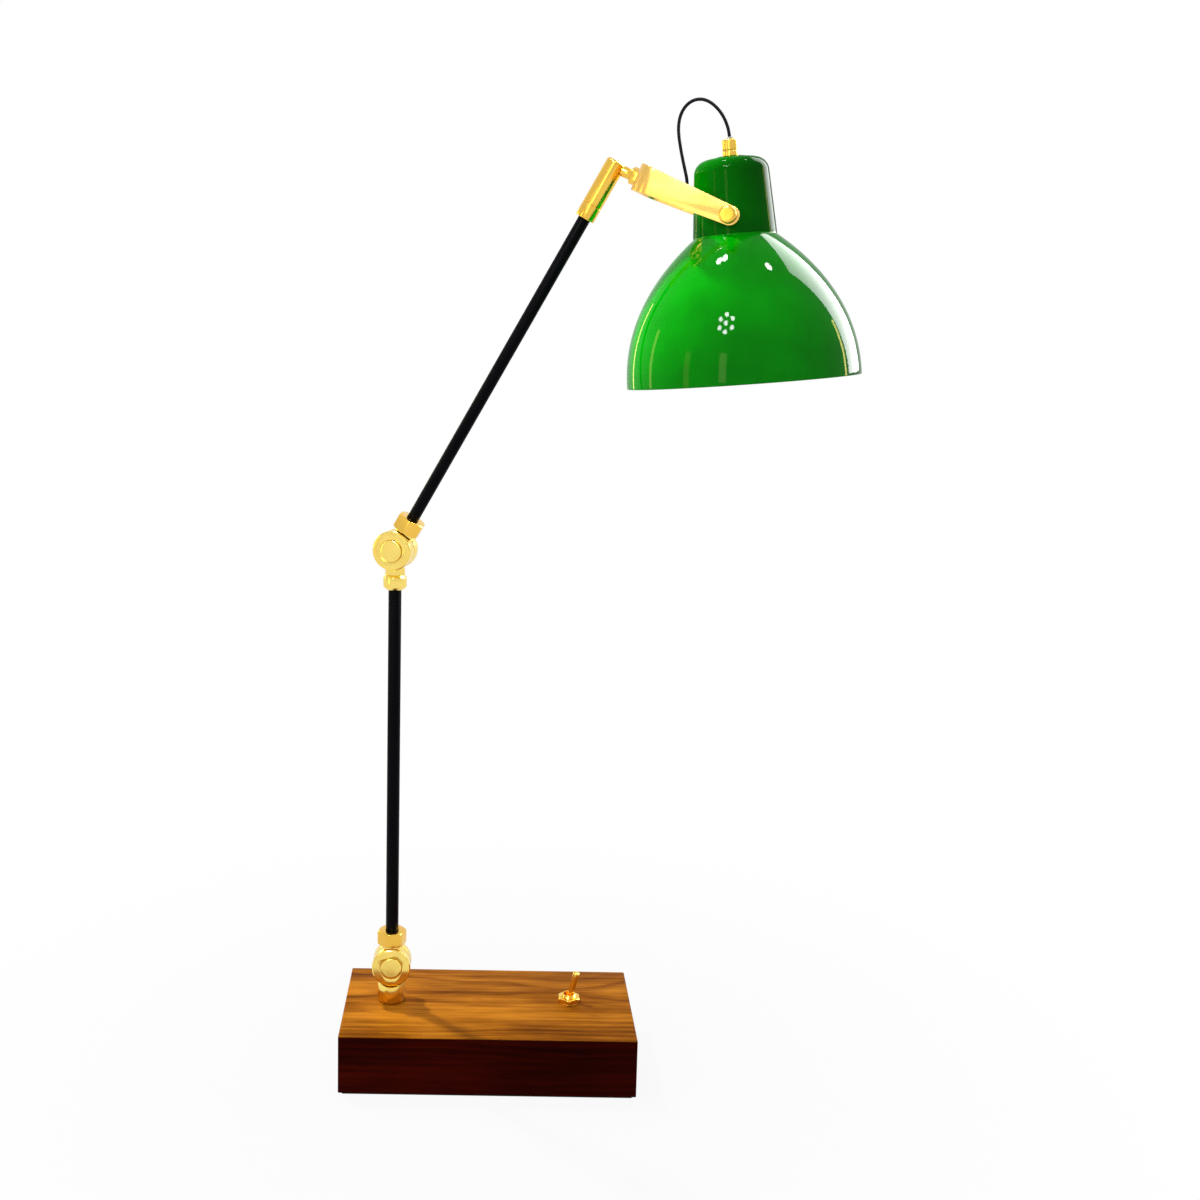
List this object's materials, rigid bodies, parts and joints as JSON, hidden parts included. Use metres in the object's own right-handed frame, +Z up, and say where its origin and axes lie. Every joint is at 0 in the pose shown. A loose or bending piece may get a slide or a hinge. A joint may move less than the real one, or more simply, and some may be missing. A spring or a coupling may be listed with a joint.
{
  "type": "articulated desk lamp",
  "caption": "Desk lamp with a wooden base, two black tubes on brass disc joints, a brass yoke and a tilting domed metal shade.",
  "frame": {"origin": "middle of the felt pad's underside, on the surface the lamp stands on", "axes": "+X along the base towards the switch, +Y to the back, +Z up"},
  "size_m": [0.4038, 0.228, 0.8166],
  "materials": {
    "walnut": "oiled walnut, satin",
    "cover_steel": "black powder coat",
    "felt": "matt felt",
    "ballast_steel": "rough",
    "zinc_steel": "zinc plated",
    "brass": "polished, unlacquered",
    "brass_strap": "fine satin",
    "friction_fibre": "matt fibre",
    "tube_black": "satin black lacquer",
    "green_enamel": "glossy enamel",
    "phenolic": "moulded, semi-gloss",
    "terminal_nylon": "matt",
    "inlet_black": "matt",
    "bulb_metal": "bright",
    "bulb_opal": "opal glass",
    "bush_clear": "translucent",
    "flex_black": "smooth"
  },
  "bodies": {
    "base": {"base_block": "walnut", "base_cover": "cover_steel", "cover_screws": "zinc_steel", "felt_pad": "felt", "ballast_plate": "ballast_steel", "ballast_screws": "zinc_steel", "inlet_bushing": "inlet_black", "terminal_block": "terminal_nylon", "terminal_screw": "zinc_steel", "switch_body": "phenolic", "switch_bushing": "brass", "switch_washer": "brass", "switch_nut": "brass", "foot_knuckle": "brass", "foot_nipple": "zinc_steel", "foot_washer": "zinc_steel", "foot_nut": "zinc_steel", "lower_bolt": "brass", "lower_cap_nut": "brass", "lower_friction_washer": "friction_fibre"},
    "post_joint": {"post_knuckle": "brass", "post_collar": "brass"},
    "post": {"lower_tube": "tube_black", "elbow_lower_half": "brass", "elbow_bolt": "brass", "elbow_cap_nut": "brass", "elbow_friction_washer": "friction_fibre"},
    "arm": {"elbow_upper_half": "brass", "arm_collar": "brass", "upper_tube": "tube_black", "arm_ferrule": "brass", "arm_sleeve": "brass", "yoke_stem": "brass", "stem_nut": "brass", "crown_lock_nut": "brass"},
    "yoke": {"yoke": "brass_strap"},
    "shade": {"shade_dome": "green_enamel", "neck_cap": "green_enamel", "thumb_screws": "brass", "pivot_spacers": "brass", "pivot_nuts": "zinc_steel", "lamp_holder": "phenolic", "holder_nipple": "zinc_steel", "holder_ring": "phenolic", "bulb_cap": "bulb_metal", "bulb_glass": "bulb_opal", "cord_grip": "brass", "grip_bush": "bush_clear", "shade_flex": "flex_black"},
    "lever": {"switch_lever": "brass"}
  },
  "joints": [
    {"name": "post_tilt", "type": "hinge", "parent": "base", "child": "post_joint", "pos_m": [-0.085, 0.005, 0.0845], "axis": [0, -1, 0], "range_deg": [-45, 45]},
    {"name": "post_swivel", "type": "hinge", "parent": "post_joint", "child": "post", "pos_m": [-0.085, 0.005, 0.0845], "axis": [0, 0, 1], "range_deg": [-90, 90]},
    {"name": "elbow", "type": "hinge", "parent": "post", "child": "arm", "pos_m": [-0.085, 0.005, 0.452], "axis": [0.2672, 0.9636, 0], "range_deg": [-135, 75]},
    {"name": "yoke_swivel", "type": "hinge", "parent": "arm", "child": "yoke", "pos_m": [0.08635, -0.04252, 0.76502], "axis": [0.8896, -0.2467, -0.3843], "range_deg": [-90, 90]},
    {"name": "shade_tilt", "type": "hinge", "parent": "yoke", "child": "shade", "pos_m": [0.17781, -0.06788, 0.72551], "axis": [0.2672, 0.9636, 0], "range_deg": [-60, 30], "deforming": ["shade_flex"]},
    {"name": "switch_toggle", "type": "hinge", "parent": "base", "child": "lever", "pos_m": [0.071, 0.005, 0.0525], "axis": [0, 1, 0], "range_deg": [-27.6, 0]}
  ]
}
